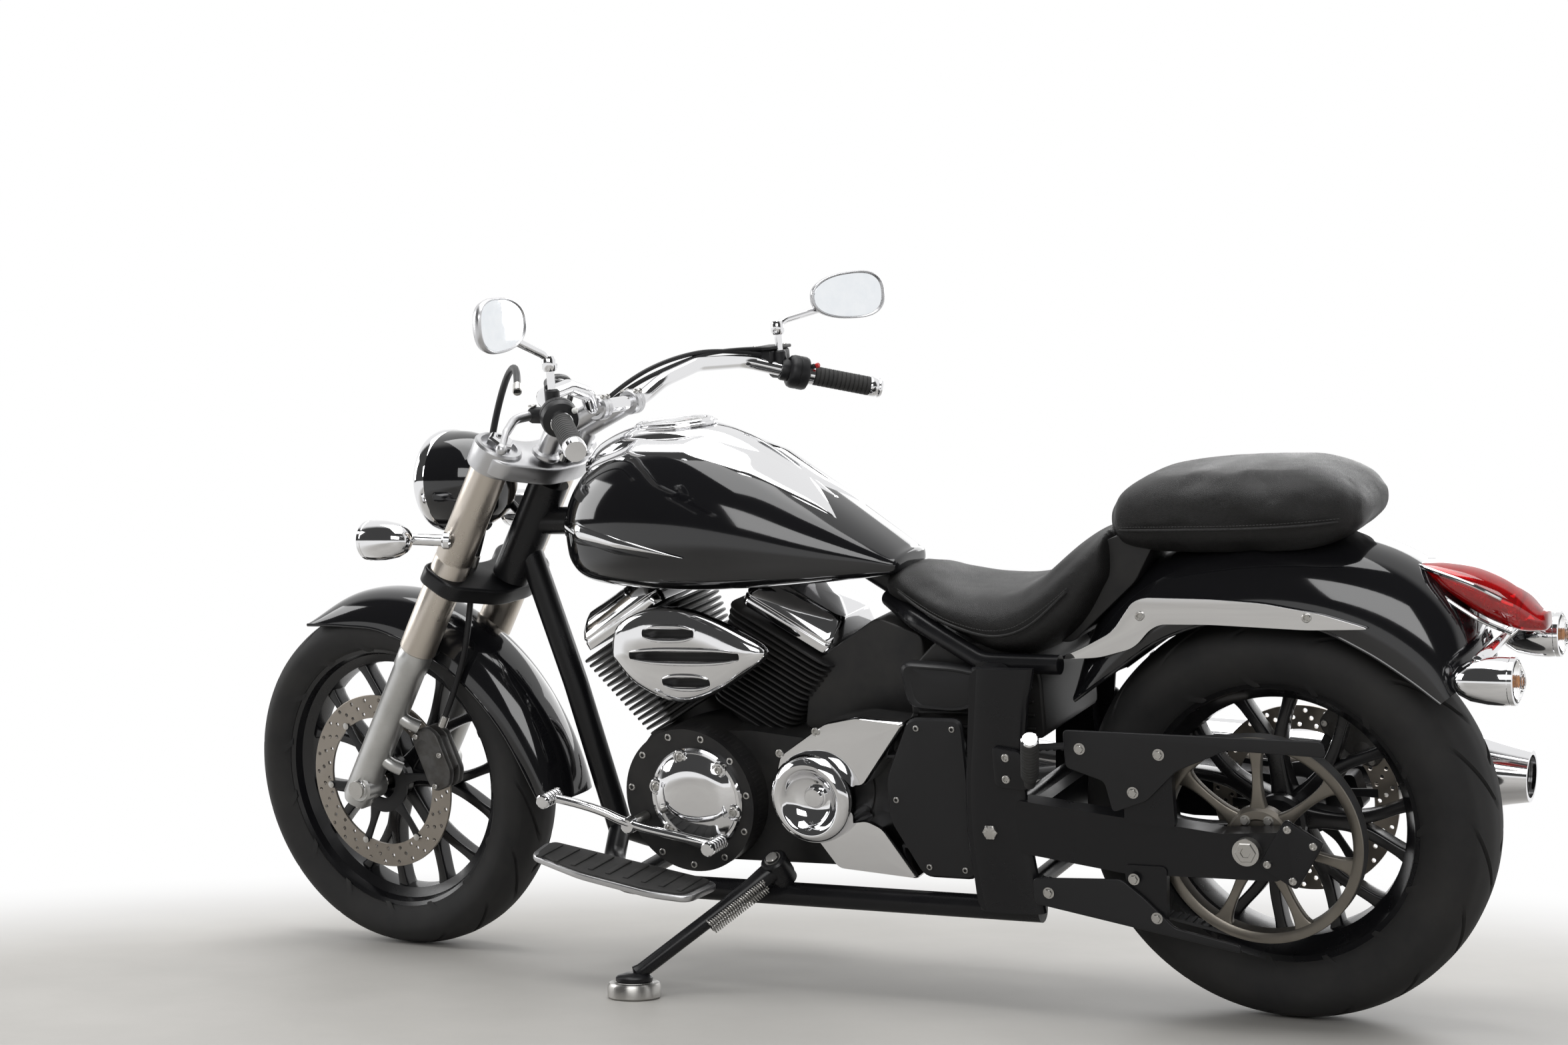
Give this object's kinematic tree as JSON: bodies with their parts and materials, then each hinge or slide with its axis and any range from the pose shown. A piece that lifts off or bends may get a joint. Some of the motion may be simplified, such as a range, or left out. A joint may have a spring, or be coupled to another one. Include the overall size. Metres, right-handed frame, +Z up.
{
  "type": "cruiser motorcycle",
  "caption": "Belt-driven air-cooled V-twin cruiser motorcycle leaning on its side stand, with steered fork, turning wheels and folding stand",
  "frame": {"origin": "on the floor under the middle of the whole machine as it stands on its side stand", "axes": "+X forward, +Y to the rider's left, +Z up; the machine leans towards +Y"},
  "size_m": [2.4134, 1.0755, 1.2324],
  "materials": {
    "tyre": "matte",
    "cast_black": "gloss",
    "disc_steel": "brushed",
    "bronze": "cast",
    "steel": "brushed",
    "fork_metal": "brushed",
    "silver": "satin",
    "gloss_black": "gloss",
    "chrome": "polished",
    "grip_rubber": "matte",
    "controls_black": "satin",
    "caliper_silver": "cast",
    "cable_black": "satin",
    "frame_black": "gloss",
    "engine_black": "powder coat",
    "satin_black": "satin",
    "leather": "grained",
    "lamp_red": "gloss",
    "belt_rubber": "matte",
    "guard_black": "gloss"
  },
  "bodies": {
    "chassis": {"frame": "frame_black", "engine_case": "engine_black", "cylinders": "engine_black", "rocker_covers": "chrome", "slotted_cover": "chrome", "generator_cover": "chrome", "pulley_cover": "chrome", "side_covers": "satin_black", "fuel_tank": "gloss_black", "tank_console": "chrome", "rider_seat": "leather", "pillion_seat": "leather", "rear_fender": "gloss_black", "fender_struts": "chrome", "tail_lamp": "lamp_red", "rear_indicators": "chrome", "swingarm": "frame_black", "drive_belt": "belt_rubber", "belt_guards": "guard_black", "rear_caliper": "caliper_silver", "rear_axle": "steel", "exhaust_pipes": "chrome", "muffler": "chrome", "floorboards": "grip_rubber", "foot_controls": "chrome", "passenger_pegs": "chrome"},
    "steering": {"yokes": "silver", "fork_legs": "fork_metal", "front_fender": "gloss_black", "headlamp": "gloss_black", "front_indicators": "chrome", "handlebar": "chrome", "grips": "grip_rubber", "hand_controls": "controls_black", "mirrors": "chrome", "front_axle": "steel", "front_caliper": "caliper_silver", "steering_cables": "cable_black"},
    "front_wheel": {"front_tyre": "tyre", "front_rim": "cast_black", "front_disc": "disc_steel"},
    "rear_wheel": {"rear_tyre": "tyre", "rear_rim": "cast_black", "rear_disc": "disc_steel", "rear_pulley": "bronze"},
    "side_stand": {"side_stand": "frame_black"}
  },
  "joints": [
    {"name": "steering_turn", "type": "hinge", "parent": "chassis", "child": "steering", "pos_m": [0.59927, -0.07697, 0.68124], "axis": [-0.5299, 0.172, 0.8304], "range_deg": [-33.9, 42.1]},
    {"name": "front_wheel_spin", "type": "hinge", "parent": "steering", "child": "front_wheel", "pos_m": [0.88723, -0.15589, 0.31657], "axis": [0.0606, 0.9844, -0.1652], "continuous": true},
    {"name": "rear_wheel_spin", "type": "hinge", "parent": "chassis", "child": "rear_wheel", "pos_m": [-0.79726, -0.15234, 0.31726], "axis": [0, 0.9792, -0.2028], "continuous": true},
    {"name": "stand_fold", "type": "hinge", "parent": "chassis", "child": "side_stand", "pos_m": [0.01474, 0.00398, 0.20421], "axis": [0.1052, 0.675, 0.7302], "range_deg": [0, 112.5]}
  ]
}
